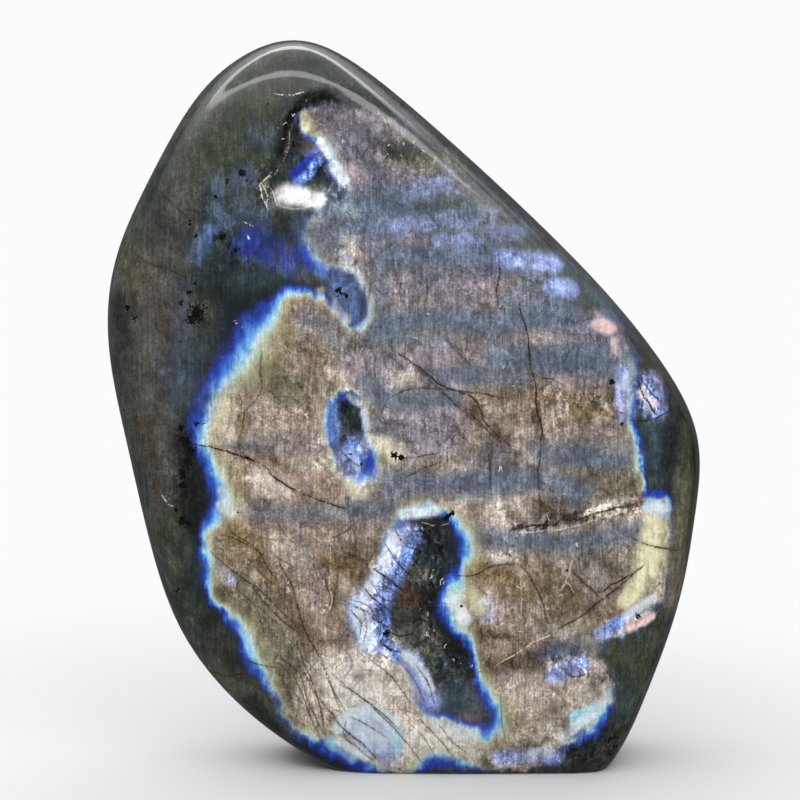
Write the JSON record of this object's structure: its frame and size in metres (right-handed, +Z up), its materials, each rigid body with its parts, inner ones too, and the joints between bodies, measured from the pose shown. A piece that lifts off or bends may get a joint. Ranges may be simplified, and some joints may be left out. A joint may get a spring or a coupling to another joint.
{
  "type": "polished labradorite freeform",
  "caption": "Upright free-form palm-sized stone polished all over, rounded edges, flat cut base, blue and gold flash on a grey-green body, small natural hollows near its top.",
  "frame": {"origin": "middle of the flat base, on the surface that the stone stands on", "axes": "+Z up along the stone's height, -Y towards the side with the flash, +X to the right as that side is looked at"},
  "size_m": [0.1004, 0.0388, 0.1231],
  "materials": {
    "labradorite": "high polish over grey-green feldspar with patches of blue, cyan and gold flash, fine twin lines, dark cracks and black specks"
  },
  "bodies": {
    "root": {"labradorite_stone": "labradorite"}
  },
  "joints": []
}
